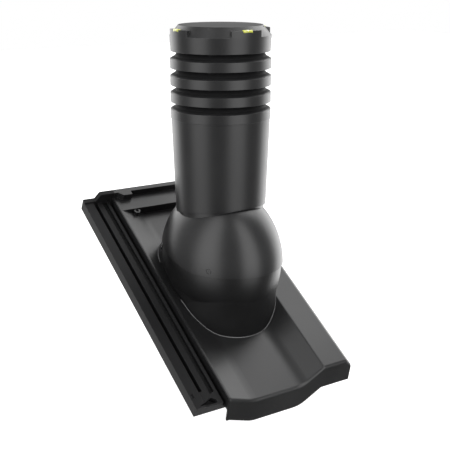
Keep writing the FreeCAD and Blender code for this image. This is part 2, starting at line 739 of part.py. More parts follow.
def nose_edge(edge):
    """The bend from the top of the tile into the apron."""
    middle = edge.valueAt((edge.FirstParameter + edge.LastParameter) / 2)
    points = [v.Point for v in edge.Vertexes] + [middle]
    on_face = all(abs(p.y + value("dim.tile_front") - p.z * lean) < 0.01 for p in points)
    return on_face and middle.z > value("-dim.tile_wall") and abs(points[0].x - points[1].x) > 0.01


round_edges(sheet_outside, "nose", "dim.nose_round", nose_edge)
sheet_inside = slope_form("sheet_inside", PAN_UNDER, "dim.pan_round", "dim.roll_round - dim.tile_wall")
front_cut(sheet_inside, "apron_back", "dim.tile_wall")
underside = new_body("underside")
under_line = outline(underside, "under_line", "XZ_Plane", [
    ("-2 * dim.tile_left", UNDERSIDE), ("2 * dim.tile_right", UNDERSIDE),
    ("2 * dim.tile_right", DEEP), ("-2 * dim.tile_left", DEEP)])
under_line.setExpression("AttachmentOffset.Base.z", "-2 * dim.tile_back")
pad(underside, "underside_pad", under_line, "4 * dim.tile_back")
front_cut(underside, "underside_front", "dim.tile_wall")
apron_foot = slope_form("apron_foot", APRON_FOOT, "dim.pan_round", "dim.roll_round")
tile_sheet = cut("tile_sheet", sheet_outside, sheet_inside, underside, apron_foot)

# Header: a raised ledge and a ridge along the top, hollow from below, with a lug and two hanging nibs
LEDGE_RIGHT = "(dim.pan_right + (dim.roll_left - dim.pan_right) * dim.crest_rise / dim.roll_rise)"
ledge = box("ledge", CREST, "dim.ledge_front", "-dim.tile_wall", LEDGE_RIGHT + " + dim.crest_left + 3",
            "dim.tile_back - dim.ledge_front", "dim.crest_rise + dim.tile_wall")
ledge_hollow = box("ledge_hollow", CREST + " + dim.tile_wall", "dim.ledge_front + dim.tile_wall",
                   "-2 * dim.tile_wall",
                   LEDGE_RIGHT + " + dim.crest_left - dim.tile_wall",
                   "dim.tile_back - dim.ledge_front - 2 * dim.tile_wall", "dim.crest_rise + dim.tile_wall")
ridge_body = new_body("ridge_body")
ridge_profile = outline(ridge_body, "ridge_profile", "XZ_Plane", [
    ("-dim.tile_left", UNDERSIDE),
    ("-dim.tile_left", "dim.low_ridge_rise"),
    (MIDDLE_RIB + " - 3", "dim.low_ridge_rise"),
    (MIDDLE_RIB + " - 3 + dim.ridge_step", "dim.ridge_rise"),
    ("dim.tile_right", "dim.ridge_rise"),
    ("dim.tile_right", "dim.roll_shoulder"),
    ("dim.roll_right", "dim.roll_rise - dim.tile_wall"),
    ("dim.roll_left", "dim.roll_rise - dim.tile_wall"),
    ("dim.pan_right", "-dim.tile_wall"),
    (CREST + " + dim.tile_wall", "-dim.tile_wall"),
    (CREST + " + dim.tile_wall", UNDERSIDE),
])
ridge_profile.setExpression("AttachmentOffset.Base.z", "-dim.tile_back")
pad(ridge_body, "ridge_pad", ridge_profile, "dim.tile_back - dim.ridge_front")
lug_body = new_body("lug_body")
lug_profile = outline(lug_body, "lug_profile", "XY_Plane", [
    ("-dim.lug_left - dim.lug_reach / 2", "dim.ridge_front + 1"),
    ("-dim.lug_left + dim.lug_reach / 2", "dim.ridge_front - dim.lug_reach"),
    ("-dim.lug_left + dim.lug_width", "dim.ridge_front - dim.lug_reach"),
    ("-dim.lug_left + dim.lug_width", "dim.ridge_front + 1"),
])
lug_profile.setExpression("AttachmentOffset.Base.z", "dim.crest_rise - 1")
pad(lug_body, "lug_pad", lug_profile, "dim.ridge_rise - dim.crest_rise + 1")
nibs = [box("nib_" + side, "dim.nib_centre %s dim.nib_spread - dim.nib_width / 2" % sign, "dim.nib_front",
            "-dim.nib_drop", "dim.nib_width", "dim.nib_thick", "dim.nib_drop + dim.crest_rise - 1")
        for side, sign in (("left", "-"), ("right", "+"))]
SCREW_Y = "dim.ledge_front - dim.screw_boss_back"
screw_boss = rod("screw_boss", "dim.screw_boss_radius", "dim.crest_rise - 1", "-dim.screw_boss_left",
                 SCREW_Y, "-1")
screw_hole = rod("screw_hole", "dim.screw_hole_radius", "3 * dim.crest_rise", "-dim.screw_boss_left",
                 SCREW_Y, "-dim.crest_rise")

# Collar: a wall that grows from a rounded oblong on the pan and runs into the barrel of the inner shell
SHELL_INSET = "(dim.hood_wall + dim.shell_gap)"
SHELL_RADIUS = "(dim.hood_radius - %s)" % SHELL_INSET
SHELL_HALF_WIDTH = "(dim.hood_half_width - %s)" % SHELL_INSET
SHELL_SECTION = "sqrt(%s^2 - (dim.collar_rise - %s)^2)" % (SHELL_RADIUS, PIVOT_Z)
OVAL_LENGTH = "(%s - dim.collar_tuck)" % SHELL_SECTION
OVAL_WIDTH = "(%s * %s / %s - dim.collar_tuck)" % (SHELL_SECTION, SHELL_HALF_WIDTH, SHELL_RADIUS)
OVAL_END = "(0.84 * %s)" % OVAL_WIDTH


def stadium(shrink):
    """Two straight sides and two round ends, each end in two halves."""
    half = "(dim.collar_half_width - %s)" % shrink
    front = "(%s - dim.collar_front + dim.collar_half_width)" % PIVOT_Y
    back = "(%s + dim.collar_back - dim.collar_half_width)" % PIVOT_Y
    return [
        ("-" + half, front, half, -1),
        ("0", "%s - %s" % (front, half), half, -1),
        (half, front),
        (half, back, half, -1),
        ("0", "%s + %s" % (back, half), half, -1),
        ("-" + half, back),
    ]


def oval(shrink):
    """Arcs that run into each other, as near to the barrel's section as arcs come."""
    width, length = "(%s - %s)" % (OVAL_WIDTH, shrink), "(%s - %s)" % (OVAL_LENGTH, shrink)
    end = "(%s - %s)" % (OVAL_END, shrink)
    side = "((%s^2 - 2 * %s * %s + %s^2) / (2 * (%s - %s)))" % (length, length, end, width, width, end)
    spread = "(%s - %s)" % (side, end)
    x = "(%s * (%s - %s) / %s)" % (end, side, width, spread)
    y = "((%s - %s) * (1 + %s / %s))" % (length, end, end, spread)
    return [
        ("-" + x, "%s - %s" % (PIVOT_Y, y), end, -1),
        ("0", "%s - %s" % (PIVOT_Y, length), end, -1),
        (x, "%s - %s" % (PIVOT_Y, y), side, -1),
        (x, "%s + %s" % (PIVOT_Y, y), end, -1),
        ("0", "%s + %s" % (PIVOT_Y, length), end, -1),
        ("-" + x, "%s + %s" % (PIVOT_Y, y), side, -1),
    ]


def collar_form(name, shrink, foot, top):
    """The collar's outer or inner form, carried down through the pan."""
    body = new_body(name)
    low = outline(body, name + "_low", "XY_Plane", stadium(shrink))
    high = outline(body, name + "_high", "XY_Plane", oval(shrink))
    high.setExpression("AttachmentOffset.Base.z", top)
    root = outline(body, name + "_root", "XY_Plane", stadium(shrink))
    loft = body.newObject("PartDesign::AdditiveLoft", name + "_loft")
    loft.Profile = low
    loft.Sections = [high]
    loft.Ruled = True
    doc.recompute()
    pad(body, name + "_root_pad", root, foot, reverse=True)
    return body


collar_outside = collar_form("collar_outside", "0", "dim.tile_wall", "dim.collar_rise")
collar_inside = collar_form("collar_inside", "dim.collar_wall", "4 * dim.tile_wall", "dim.collar_rise")
collar_hole = collar_form("collar_hole", "(-dim.collar_seam)", "4 * dim.tile_wall", "dim.collar_rise")


def slope_wedge(name, corners):
    """A block right across the tile from an outline seen from its side."""
    body = new_body(name)
    profile = outline(body, name + "_outline", "YZ_Plane", corners)
    pad(body, name + "_pad", profile, "4 * dim.hood_half_width", both_ways=True)
    return body


SIDE_REACH = 200
FRONT_END, BACK_END = "%s - %d" % (PIVOT_Y, SIDE_REACH), "%s + %d" % (PIVOT_Y, SIDE_REACH)
sweep_block = slope_wedge("sweep_block", [
    (FRONT_END, "%s + %d * tan(dim.sweep_front)" % (PIVOT_Z, SIDE_REACH)),
    (PIVOT_Y, PIVOT_Z),
    (BACK_END, "%s - %d * tan(dim.sweep_back)" % (PIVOT_Z, SIDE_REACH)),
    (BACK_END, str(2 * SIDE_REACH)),
    (FRONT_END, str(2 * SIDE_REACH)),
])
sweep_form = banded_barrel("sweep_form", "dim.running_gap", PIVOT_Y, PIVOT_Z)
sweep_room = common("sweep_room", sweep_form, sweep_block)
collar_wall = cut("collar_wall", collar_outside, collar_inside, sweep_room)

# Inner shell: a barrel just inside the hood, high enough to stay under its edge at every tilt
shell_form = smooth_barrel("shell_form", "-" + SHELL_INSET, PIVOT_Y, PIVOT_Z)
shell_inside = banded_barrel("shell_inside", "-%s - dim.shell_wall" % SHELL_INSET, PIVOT_Y, PIVOT_Z)
SHELL_FRONT = "(%d + dim.shell_knee - %s)" % (SIDE_REACH, PIVOT_Y)
shell_band = slope_wedge("shell_band", [
    (FRONT_END, "dim.shell_foot_rise + %d * tan(dim.shell_foot_lean)" % SIDE_REACH),
    (PIVOT_Y, "dim.shell_foot_rise"),
    (BACK_END, "0"),
    (BACK_END, "dim.shell_back_rise"),
    ("dim.shell_side", "dim.shell_side_rise"),
    ("dim.shell_knee", "dim.shell_knee_rise"),
    (FRONT_END, "dim.shell_knee_rise + %s * tan(dim.shell_front_lean)" % SHELL_FRONT),
])
inner_shell = common("inner_shell", cut("shell_barrel", shell_form, shell_inside), shell_band)

# Ears inside the collar that carry the pivot pins
EAR_FRONT = PIVOT_Y + " - dim.ear_half_width"
EAR_WIDTH = "2 * dim.ear_half_width"
EAR_FOOT = "dim.collar_half_width - dim.ear_inner - 0.5"
ears = []
for side, inner, foot_x in (("left", "-dim.ear_inner - dim.ear_thick", "-dim.collar_half_width + 0.5"),
                            ("right", "dim.ear_inner", "dim.ear_inner")):
    ears.append(box("ear_foot_" + side, foot_x, EAR_FRONT, "-dim.tile_wall", EAR_FOOT, EAR_WIDTH,
                    "2 * dim.tile_wall"))
    ears.append(box("ear_plate_" + side, inner, EAR_FRONT, "-dim.tile_wall", "dim.ear_thick", EAR_WIDTH,
                    PIVOT_Z + " + dim.tile_wall"))
    ears.append(rod("ear_top_" + side, "dim.ear_half_width", "dim.ear_thick", inner, PIVOT_Y, PIVOT_Z,
                    along="X"))
ear_bore = rod("ear_bore", "dim.pin_radius", "2 * dim.pin_reach", "-dim.pin_reach", PIVOT_Y, PIVOT_Z,
               along="X")

tile_block = fuse("tile_block", tile_sheet, lock_body, end_wall, rib_end, end_block, ledge, ridge_body)
tile_hollow = cut("tile_hollow", tile_block, ledge_hollow, end_pocket, rib_slot)
tile_fittings = fuse("tile_fittings", tile_hollow, lug_body, screw_boss, *nibs)
shell_seat = banded_barrel("shell_seat", "dim.collar_seam - " + SHELL_INSET, PIVOT_Y, PIVOT_Z)
base_tile = on_slope(cut("base_tile", tile_fittings, collar_hole, shell_seat, sweep_room, screw_hole))
collar_block = fuse("collar_block", collar_wall, inner_shell, *ears)
dome_collar = on_slope(cut("dome_collar", collar_block, ear_bore))

# Pins, pushed outwards through the ears
pins = {}
for side, sign in (("left", -1), ("right", 1)):
    start = "dim.ear_inner" if sign > 0 else "-dim.pin_reach"
    shank = rod("pin_shank_" + side, "dim.pin_radius", "dim.pin_reach - dim.ear_inner", start, "0",
                "dim.pivot_rise", along="X")
    head_start = "dim.ear_inner - dim.pin_head" if sign > 0 else "-dim.ear_inner"
    head = rod("pin_head_" + side, "dim.pin_head_radius", "dim.pin_head", head_start, "0",
               "dim.pivot_rise", along="X")
    pins["pivot_pin_" + side] = fuse("pin_whole_" + side, shank, head)

# Every piece is checked, then written out on its own
pieces = {
    "base_tile": base_tile,
    "dome_collar": dome_collar,
    "tilt_hood": tilt_hood,
    "vent_tube": vent_tube,
    "duct_pipe": duct_pipe,
    "base_ring": base_ring,
    "vent_cap": vent_cap,
}
pieces.update(louvre_rings)
pieces.update(vials)
pieces.update(pins)
doc.recompute()
for feature in doc.Objects:
    if "Invalid" in feature.State or "Error" in feature.State:
        raise ValueError("%s did not build: %s" % (feature.Name, feature.State))
    if feature.isDerivedFrom("Part::Feature") and (feature.Shape.isNull() or not feature.Shape.isValid()):
        raise ValueError("%s has a bad shape" % feature.Name)
for name, piece in pieces.items():
    if len(piece.Shape.Solids) != 1:
        raise ValueError("%s is in %d solids" % (name, len(piece.Shape.Solids)))
os.makedirs("parts", exist_ok=True)
for name, piece in pieces.items():
    piece.Shape.exportStep(os.path.join("parts", name + ".step"))
    print(name, round(piece.Shape.Volume), "mm3")
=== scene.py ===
# %% [markdown]
# # A roof tile vent in satin black plastic
# The real object is moulded from black plastic: a tile that hooks in among its neighbours, a collar set
# into it, a hood that tilts over the collar, and a tube with louvre rings and a cap. The solids come in as a
# fixed frame, in metres, so everything here is placed from them.

# %% Load the frame
import json
import math

import bmesh
import bpy
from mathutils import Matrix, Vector


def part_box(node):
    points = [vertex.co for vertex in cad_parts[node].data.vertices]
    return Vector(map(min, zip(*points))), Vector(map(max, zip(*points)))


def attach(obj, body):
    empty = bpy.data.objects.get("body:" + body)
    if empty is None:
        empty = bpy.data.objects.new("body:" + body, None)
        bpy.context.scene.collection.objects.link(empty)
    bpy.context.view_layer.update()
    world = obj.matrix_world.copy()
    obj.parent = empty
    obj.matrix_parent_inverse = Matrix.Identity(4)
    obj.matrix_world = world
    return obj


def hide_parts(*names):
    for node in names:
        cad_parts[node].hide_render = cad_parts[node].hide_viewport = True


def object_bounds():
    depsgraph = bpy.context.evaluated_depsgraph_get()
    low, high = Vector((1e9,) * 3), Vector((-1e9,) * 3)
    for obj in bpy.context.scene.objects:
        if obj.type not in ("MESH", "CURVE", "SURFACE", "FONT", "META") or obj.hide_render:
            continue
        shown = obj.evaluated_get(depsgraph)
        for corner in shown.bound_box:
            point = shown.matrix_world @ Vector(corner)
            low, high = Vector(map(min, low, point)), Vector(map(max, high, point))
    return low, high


MM = 0.001
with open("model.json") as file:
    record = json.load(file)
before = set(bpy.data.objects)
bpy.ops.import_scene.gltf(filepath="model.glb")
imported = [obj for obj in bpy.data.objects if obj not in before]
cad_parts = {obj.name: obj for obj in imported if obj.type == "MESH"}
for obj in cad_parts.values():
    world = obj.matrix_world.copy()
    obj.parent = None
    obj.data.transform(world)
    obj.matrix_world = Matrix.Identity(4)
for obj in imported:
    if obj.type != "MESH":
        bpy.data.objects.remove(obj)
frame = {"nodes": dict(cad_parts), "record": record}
cad_box = [list(corner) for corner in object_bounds()]
nodes = frame["nodes"]
bpy.ops.object.select_all(action="DESELECT")
print("loaded", len(nodes), "nodes in", cad_box)

# %% [markdown]
# ## The camera
# The photograph was taken from above and to the left, with a long lens. Its place was worked out from the
# ellipses of the rings, so the same view can be set here from a point, three angles and a focal length.

# %% Camera
PHOTO_SIDE = 450
FOCAL_PIXELS = 854.86
camera_data = bpy.data.cameras.new("photo_camera")
camera_data.sensor_width = 36.0
camera_data.lens = FOCAL_PIXELS / PHOTO_SIDE * camera_data.sensor_width
camera = bpy.data.objects.new("photo_camera", camera_data)
camera.location = (-0.7335, -1.2136, 0.5512)
camera.rotation_euler = (math.radians(73.04), 0.0, math.radians(-31.44))
bpy.context.collection.objects.link(camera)
bpy.context.scene.camera = camera
print("lens", round(camera_data.lens, 2), "mm")

# %% [markdown]
# ## Floor
# A product shot of this kind stands on white paper. The paper glows, so that the shadow on it stays faint.
# Only the camera sees it. The plastic mirrors a dim room below it instead, which keeps its underside dark.

# %% Floor
FLOOR_DROP = 0.002
FLOOR_SIDE = 12.0
PAPER_GLOW = 0.86
bpy.ops.mesh.primitive_plane_add(size=FLOOR_SIDE, location=(0.0, 0.0, cad_box[0][2] - FLOOR_DROP))
floor = bpy.context.object
floor.name = "pale_floor"
paper = bpy.data.materials.new("pale_paper")
paper.use_nodes = True
paper_tree = paper.node_tree
paper_shader = paper_tree.nodes["Principled BSDF"]
paper_shader.inputs["Base Color"].default_value = (0.6, 0.6, 0.6, 1.0)
paper_shader.inputs["Roughness"].default_value = 0.9
paper_shader.inputs["Specular IOR Level"].default_value = 0.0
paper_shader.inputs["Emission Color"].default_value = (1.0, 1.0, 1.0, 1.0)
paper_shader.inputs["Emission Strength"].default_value = PAPER_GLOW
paper_seen = paper_tree.nodes.new("ShaderNodeLightPath")
paper_clear = paper_tree.nodes.new("ShaderNodeBsdfTransparent")
paper_choice = paper_tree.nodes.new("ShaderNodeMixShader")
paper_tree.links.new(paper_seen.outputs["Is Camera Ray"], paper_choice.inputs["Fac"])
paper_tree.links.new(paper_clear.outputs["BSDF"], paper_choice.inputs[1])
paper_tree.links.new(paper_shader.outputs["BSDF"], paper_choice.inputs[2])
paper_tree.links.new(paper_choice.outputs["Shader"], paper_tree.nodes["Material Output"].inputs["Surface"])
floor.data.materials.append(paper)

# %% [markdown]
# ## Surround
# Black plastic is drawn by its reflections: with white all round it would look grey. So the surround is
# white only to the eye. What the plastic mirrors is a dim room with four tall soft boxes: one on each side of
# the camera, which draw the streaks, and one on each side behind the object, which draw the light rims.
# Painted into the surround, the boxes bend round the hood as long soft boxes do. A box is given by its
# bearing, the cosines of the angles at its edge and where it is full, and its strength. A fade is given by
# two heights, as the sine of the elevation, and the fades at the top run downwards.

# %% Surround
ROOM_LIGHT = 0.34
FLOOR_LIGHT = 0.04
LEFT_BOX = ((-0.989, -0.148, 0.0), 0.883, 0.990, 2.4)
RIGHT_BOX = ((0.148, -0.989, 0.0), 0.883, 0.990, 2.6)
FAR_LEFT_BOX = ((-0.183, 0.983, 0.0), 0.86, 0.980, 2.2)
FAR_RIGHT_BOX = ((0.959, 0.285, 0.0), 0.86, 0.980, 2.7)
FLOOR_FADE = (-0.80, 0.06)
TOP_FADE = (-1.0, -0.88)
FAR_TOP_FADE = (-0.85, -0.45)
world = bpy.data.worlds.new("soft_box_room")
world.use_nodes = True
surround = world.node_tree
direction = surround.nodes.new("ShaderNodeTexCoord")
flattened = surround.nodes.new("ShaderNodeVectorMath")
flattened.operation = "MULTIPLY"
flattened.inputs[1].default_value = (1.0, 1.0, 0.0)
bearing = surround.nodes.new("ShaderNodeVectorMath")
bearing.operation = "NORMALIZE"
elevation = surround.nodes.new("ShaderNodeSeparateXYZ")
surround.links.new(direction.outputs["Generated"], flattened.inputs[0])
surround.links.new(flattened.outputs["Vector"], bearing.inputs[0])
surround.links.new(direction.outputs["Generated"], elevation.inputs["Vector"])


def soft_step(value, low, high, top=1.0):
    """Rises smoothly from nothing at one value to its top at another."""
    step = surround.nodes.new("ShaderNodeMapRange")
    step.interpolation_type = "SMOOTHSTEP"
    step.inputs["From Min"].default_value = low
    step.inputs["From Max"].default_value = high
    step.inputs["To Max"].default_value = top
    surround.links.new(value, step.inputs["Value"])
    return step.outputs["Result"]


def joined(operation, first, second):
    """Two sockets, or a socket and a number, put together by one sum."""
    node = surround.nodes.new("ShaderNodeMath")
    node.operation = operation
    surround.links.new(first, node.inputs[0])
    if isinstance(second, float):
        node.inputs[1].default_value = second
    else:
        surround.links.new(second, node.inputs[1])
    return node.outputs["Value"]


def box_of_light(toward, edge, middle, strength):
    """A soft box that fades in from its edge towards its middle."""
    along = surround.nodes.new("ShaderNodeVectorMath")
    along.operation = "DOT_PRODUCT"
    along.inputs[1].default_value = toward
    surround.links.new(bearing.outputs["Vector"], along.inputs[0])
    return soft_step(along.outputs["Value"], edge, middle, strength)


above_floor = soft_step(elevation.outputs["Z"], *FLOOR_FADE)
depth = joined("MULTIPLY", elevation.outputs["Z"], -1.0)
boxes = joined("ADD", box_of_light(*LEFT_BOX), box_of_light(*RIGHT_BOX))
faded_boxes = joined("MULTIPLY", boxes, soft_step(depth, *TOP_FADE))
room = joined("MULTIPLY", joined("ADD", faded_boxes, ROOM_LIGHT), above_floor)
far_boxes = joined("ADD", box_of_light(*FAR_LEFT_BOX), box_of_light(*FAR_RIGHT_BOX))
mirrored = joined("ADD", room, joined("MULTIPLY", far_boxes, soft_step(depth, *FAR_TOP_FADE)))
eye = surround.nodes.new("ShaderNodeLightPath")
seen = surround.nodes.new("ShaderNodeMix")
seen.inputs["B"].default_value = 1.0
surround.links.new(eye.outputs["Is Camera Ray"], seen.inputs["Factor"])
surround.links.new(joined("ADD", mirrored, FLOOR_LIGHT), seen.inputs["A"])
background = surround.nodes["Background"]
background.inputs["Color"].default_value = (1.0, 1.0, 1.0, 1.0)
surround.links.new(seen.outputs["Result"], background.inputs["Strength"])
bpy.context.scene.world = world
bpy.context.scene.view_settings.view_transform = "Standard"

# %% [markdown]
# ## Overhead lamp
# The sloping pan and the top of the roll mirror a patch of ceiling up and to the right. A square lamp hangs
# there, large enough to fade softly on the plastic.

# %% Overhead lamp
LAMP_PLACE = Vector((0.95, 0.25, 1.8))
LAMP_AIM = Vector((0.0, 0.0, 0.1))
LAMP_SIDE = 1.3
LAMP_POWER = 15.0
lamp_data = bpy.data.lights.new("top_sheet", "AREA")
lamp_data.shape = "RECTANGLE"
lamp_data.size = LAMP_SIDE
lamp_data.size_y = LAMP_SIDE
lamp_data.energy = LAMP_POWER
lamp = bpy.data.objects.new("top_sheet", lamp_data)
lamp.location = LAMP_PLACE
lamp.rotation_euler = (LAMP_AIM - LAMP_PLACE).to_track_quat("-Z", "Y").to_euler()
bpy.context.collection.objects.link(lamp)
print("lamp:", lamp.name)

# %% [markdown]
# ## Effects that the plastics share
# Moulded plastic isn't one flat colour. It has a fine grain from the mould's surface and slow changes of
# gloss where the melt flowed. Its rounded edges are also painted a little paler, as a painted highlight along
# them. Each effect is a node group, so each plastic can use it with its own values.


# %% Node groups
def new_group(name, sockets_in, sockets_out):
    """An empty shader group with float inputs and typed outputs."""
    group = bpy.data.node_groups.new(name, "ShaderNodeTree")
    for label, default in sockets_in:
        socket = group.interface.new_socket(label, in_out="INPUT", socket_type="NodeSocketFloat")
        socket.default_value = default
    for label, kind in sockets_out:
        group.interface.new_socket(label, in_out="OUTPUT", socket_type=kind)
    return group, group.nodes.new("NodeGroupInput"), group.nodes.new("NodeGroupOutput")


def noise_on_object(group, scale_from, detail):
    """A noise that stays with the piece, at a scale read from a socket."""
    place = group.nodes.new("ShaderNodeTexCoord")
    noise = group.nodes.new("ShaderNodeTexNoise")
    noise.inputs["Detail"].default_value = detail
    group.links.new(place.outputs["Object"], noise.inputs["Vector"])
    group.links.new(scale_from, noise.inputs["Scale"])
    return noise.outputs["Fac"]


def spread_to(group, value, low, high):
    """Maps a noise from its middle range to two sockets or numbers."""
    mapped = group.nodes.new("ShaderNodeMapRange")
    mapped.inputs["From Min"].default_value = 0.3
    mapped.inputs["From Max"].default_value = 0.7
    group.links.new(value, mapped.inputs["Value"])
    for socket, source in (("To Min", low), ("To Max", high)):
        if isinstance(source, float):
            mapped.inputs[socket].default_value = source
        else:
            group.links.new(source, mapped.inputs[socket])
    return mapped.outputs["Result"]


mould_grain, grain_in, grain_out = new_group(
    "mould_grain", [("Scale", 1400.0), ("Pit Scale", 260.0)], [("Height", "NodeSocketFloat")])
fine = noise_on_object(mould_grain, grain_in.outputs["Scale"], 2.0)
pits = noise_on_object(mould_grain, grain_in.outputs["Pit Scale"], 3.0)
both = mould_grain.nodes.new("ShaderNodeMath")
both.operation = "MULTIPLY_ADD"
both.inputs[1].default_value = 0.4
mould_grain.links.new(pits, both.inputs[0])
mould_grain.links.new(fine, both.inputs[2])
mould_grain.links.new(both.outputs["Value"], grain_out.inputs["Height"])

melt_flow, flow_in, flow_out = new_group(
    "melt_flow", [("Scale", 9.0), ("Smooth", 0.3), ("Rough", 0.4)],
    [("Roughness", "NodeSocketFloat"), ("Tone", "NodeSocketFloat")])
slow = noise_on_object(melt_flow, flow_in.outputs["Scale"], 4.0)
melt_flow.links.new(spread_to(melt_flow, slow, flow_in.outputs["Smooth"], flow_in.outputs["Rough"]),
                    flow_out.inputs["Roughness"])
melt_flow.links.new(spread_to(melt_flow, slow, 0.0, 1.0), flow_out.inputs["Tone"])

# Painted highlight: a mask that is one near edges, where the base colour is painted paler to stand for the
# light lines along them.
painted_edge_highlight, highlight_in, highlight_out = new_group("painted_edge_highlight", [("Strength", 1.0)], [("Mask", "NodeSocketFloat")])
rounded = painted_edge_highlight.nodes.new("ShaderNodeBevel")
rounded.samples = 4
rounded.inputs["Radius"].default_value = 0.9 * MM
true_face = painted_edge_highlight.nodes.new("ShaderNodeNewGeometry")
turned = painted_edge_highlight.nodes.new("ShaderNodeVectorMath")
turned.operation = "DOT_PRODUCT"
painted_edge_highlight.links.new(rounded.outputs["Normal"], turned.inputs[0])
painted_edge_highlight.links.new(true_face.outputs["Normal"], turned.inputs[1])
highlight_fade = painted_edge_highlight.nodes.new("ShaderNodeMapRange")
highlight_fade.inputs["From Min"].default_value = 0.995
highlight_fade.inputs["From Max"].default_value = 0.85
painted_edge_highlight.links.new(turned.outputs["Value"], highlight_fade.inputs["Value"])
painted_edge_highlight.links.new(highlight_in.outputs["Strength"], highlight_fade.inputs["To Max"])
painted_edge_highlight.links.new(highlight_fade.outputs["Result"], highlight_out.inputs["Mask"])
print("groups:", [group.name for group in bpy.data.node_groups])

# %% [markdown]
# ## Satin black plastics
# Tile, hood, tube, rings and cap come out of different moulds, so they share one recipe with slightly
# different blacks, gloss and grain. A Bevel node rounds the shading of the edges by less than a millimetre,
# which draws the light lines along the ribs and bands. In the photograph the ribs at the left, the recesses
# between the rings and the foot of the collar are darker than this light makes them, so a mask gives those
# places a duller finish. That is a choice of look: the plastic there may be no different.

# %% Plastic recipe
PLASTIC_IOR = 1.5
GRAIN_DEPTH = 0.05 * MM
DULL_ROUGHNESS = 0.60
DULL_SHINE = 0.15
LEFT_RIBS = ("X", -107.0 * MM, 1.0 * MM)
RING_RECESS = ("radius", 80.5 * MM, 1.0 * MM)
COLLAR_FOOT = ("Z", 34.0 * MM, 26.0 * MM)
# Painted shade: the collar's black is darker than the hood's, for the shade on the lower part of the dome.
SHADED_BLACK = (0.0040, 0.0040, 0.0042)
BLACK = (0.0090, 0.0090, 0.0094)
SOFT_BLACK = (0.0125, 0.0125, 0.0130)
DARK_GREY = (0.02, 0.02, 0.021)
# Painted highlight: the paler grey that edges are painted with.
EDGE_HIGHLIGHT_GREY = (0.030, 0.030, 0.031)
# Painted highlight: the pale grey of the bead at the collar's foot stands for the light line there.
PAINTED_HIGHLIGHT_GREY = (0.075, 0.075, 0.077)


def add_group(tree, group, **values):
    """Places a shared effect in a material."""
    node = tree.nodes.new("ShaderNodeGroup")
    node.node_tree = group
    for label, number in values.items():
        node.inputs[label.replace("_", " ")].default_value = number
    return node


def dull_places(tree, measure, limit, fade):
    """A mask that is one where the finish is dull: below a limit in X, in Z or in radius."""
    place = tree.nodes.new("ShaderNodeTexCoord")
    mask = tree.nodes.new("ShaderNodeMapRange")
    mask.interpolation_type = "SMOOTHSTEP"
    mask.inputs["From Min"].default_value = limit + fade
    mask.inputs["From Max"].default_value = limit - fade
    if measure == "radius":
        flat = tree.nodes.new("ShaderNodeVectorMath")
        flat.operation = "MULTIPLY"
        flat.inputs[1].default_value = (1.0, 1.0, 0.0)
        size = tree.nodes.new("ShaderNodeVectorMath")
        size.operation = "LENGTH"
        tree.links.new(place.outputs["Object"], flat.inputs[0])
        tree.links.new(flat.outputs["Vector"], size.inputs[0])
        tree.links.new(size.outputs["Value"], mask.inputs["Value"])
    else:
        axes = tree.nodes.new("ShaderNodeSeparateXYZ")
        tree.links.new(place.outputs["Object"], axes.inputs["Vector"])
        tree.links.new(axes.outputs[measure], mask.inputs["Value"])
    return mask.outputs["Result"]


def mixed(tree, mask, plain, dull):
    """A value that goes from a socket or a number to the dull one where the mask is one."""
    mix = tree.nodes.new("ShaderNodeMix")
    mix.inputs["B"].default_value = dull
    tree.links.new(mask, mix.inputs["Factor"])
    if isinstance(plain, float):
        mix.inputs["A"].default_value = plain
    else:
        tree.links.new(plain, mix.inputs["A"])
    return mix.outputs["Result"]


def satin_plastic(name, black, grey, edge_highlight_grey, smooth, rough, grain, edge, dull=None, shine=0.5):
    """Black plastic: two tones by flow, edges painted paler as a painted highlight, eased corners and a fine
    grain.
    """
    finish = bpy.data.materials.new(name)
    finish.use_nodes = True
    tree = finish.node_tree
    shader = tree.nodes["Principled BSDF"]
    shader.inputs["IOR"].default_value = PLASTIC_IOR
    shader.inputs["Specular IOR Level"].default_value = shine
    flow = add_group(tree, melt_flow, Smooth=smooth, Rough=rough)
    edge_highlight_mask = add_group(tree, painted_edge_highlight)
    moulded = add_group(tree, mould_grain)
    tone = tree.nodes.new("ShaderNodeMix")
    tone.data_type = "RGBA"
    tone.inputs["A"].default_value = (*black, 1.0)
    tone.inputs["B"].default_value = (*grey, 1.0)
    # Painted highlight: near edges the colour is mixed towards the paler grey.
    highlighted = tree.nodes.new("ShaderNodeMix")
    highlighted.data_type = "RGBA"
    highlighted.inputs["B"].default_value = (*edge_highlight_grey, 1.0)
    eased = tree.nodes.new("ShaderNodeBevel")
    eased.samples = 6
    eased.inputs["Radius"].default_value = edge
    bump = tree.nodes.new("ShaderNodeBump")
    bump.inputs["Strength"].default_value = grain
    bump.inputs["Distance"].default_value = GRAIN_DEPTH
    tree.links.new(flow.outputs["Tone"], tone.inputs["Factor"])
    tree.links.new(tone.outputs["Result"], highlighted.inputs["A"])
    tree.links.new(edge_highlight_mask.outputs["Mask"], highlighted.inputs["Factor"])
    tree.links.new(highlighted.outputs["Result"], shader.inputs["Base Color"])
    gloss = flow.outputs["Roughness"]
    if dull is not None:
        mask = dull_places(tree, *dull)
        gloss = mixed(tree, mask, gloss, DULL_ROUGHNESS)
        tree.links.new(mixed(tree, mask, shine, DULL_SHINE), shader.inputs["Specular IOR Level"])
    tree.links.new(gloss, shader.inputs["Roughness"])
    tree.links.new(moulded.outputs["Height"], bump.inputs["Height"])
    tree.links.new(eased.outputs["Normal"], bump.inputs["Normal"])
    tree.links.new(bump.outputs["Normal"], shader.inputs["Normal"])
    return finish


